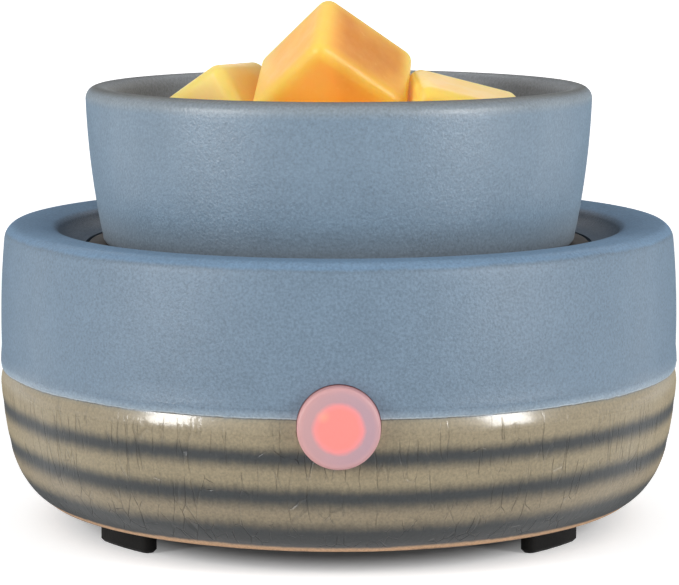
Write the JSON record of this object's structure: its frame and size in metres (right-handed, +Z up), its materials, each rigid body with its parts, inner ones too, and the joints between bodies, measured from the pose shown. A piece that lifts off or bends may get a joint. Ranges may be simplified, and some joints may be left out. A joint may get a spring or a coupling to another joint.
{
  "type": "wax melt warmer",
  "caption": "Round glazed stoneware warmer: a hot plate in its top carries a loose dish of wax melts, and a lit push button on the front switches it on.",
  "frame": {"origin": "on the body's axis, in the plane its feet stand on", "axes": "+Z up, -Y out of the push button, +Y out of the cord hole, +X to the right when looking at the button"},
  "size_m": [0.135, 0.1383, 0.1027],
  "materials": {
    "body_glaze": "slate blue glaze above, crackled olive glaze below, bare clay at the edge",
    "dish_glaze": "satin slate blue glaze",
    "plate": "dark heat-proof coat",
    "silicone": "matt",
    "heater": "matt",
    "fibre": "felted",
    "sheet_steel": "satin",
    "brass_pillars": "turned",
    "screws": "zinc plated",
    "thermostat_body": "moulded phenolic, steel cap",
    "fuse_body": "satin",
    "cover_plastic": "moulded, fine texture",
    "foot_rubber": "matt",
    "frosted_plastic": "frosted, lit from behind",
    "switch_plastic": "moulded",
    "guide_plastic": "moulded",
    "board": "laminate with a green mask",
    "lamp_resin": "clear tinted",
    "capacitor_case": "moulded",
    "resistor_coat": "matt",
    "terminal_plastic": "moulded",
    "gland_rubber": "matt",
    "wire_sleeve": "silicone over braid",
    "wax": "translucent wax"
  },
  "bodies": {
    "base": {"base_shell": "body_glaze", "hot_plate": "plate", "plate_gasket": "silicone", "heater_element": "heater", "insulation_pad": "fibre", "heater_retainer": "sheet_steel", "standoffs": "brass_pillars", "cover_screws": "screws", "bracket_screws": "screws", "board_screws": "screws", "thermostat": "thermostat_body", "thermal_fuse": "fuse_body", "fuse_clip": "sheet_steel", "bottom_cover": "cover_plastic", "foot_front_left": "foot_rubber", "foot_front_right": "foot_rubber", "foot_rear_left": "foot_rubber", "foot_rear_right": "foot_rubber", "switch_body": "switch_plastic", "button_guide": "guide_plastic", "control_board": "board", "indicator_leds": "lamp_resin", "supply_capacitor": "capacitor_case", "supply_resistor": "resistor_coat", "terminal_block": "terminal_plastic", "cord_gland": "gland_rubber", "heater_leads": "wire_sleeve"},
    "dish": {"wax_dish": "dish_glaze"},
    "wax": {"wax_melt_top": "wax", "wax_melt_left": "wax", "wax_melt_right": "wax", "wax_melt_lower": "wax"},
    "button": {"button_cap": "frosted_plastic", "switch_plunger": "switch_plastic"}
  },
  "joints": [
    {"name": "dish_lift", "type": "slide", "parent": "base", "child": "dish", "axis": [0, 0, 1], "range_m": [0, 0.06]},
    {"name": "wax_lift", "type": "slide", "parent": "dish", "child": "wax", "axis": [0, 0, 1], "range_m": [0, 0.05]},
    {"name": "button_press", "type": "slide", "parent": "base", "child": "button", "axis": [0, 1, 0], "range_m": [0, 0.0012], "stiffness_N_per_m": 1500, "springref_m": -0.0005}
  ]
}
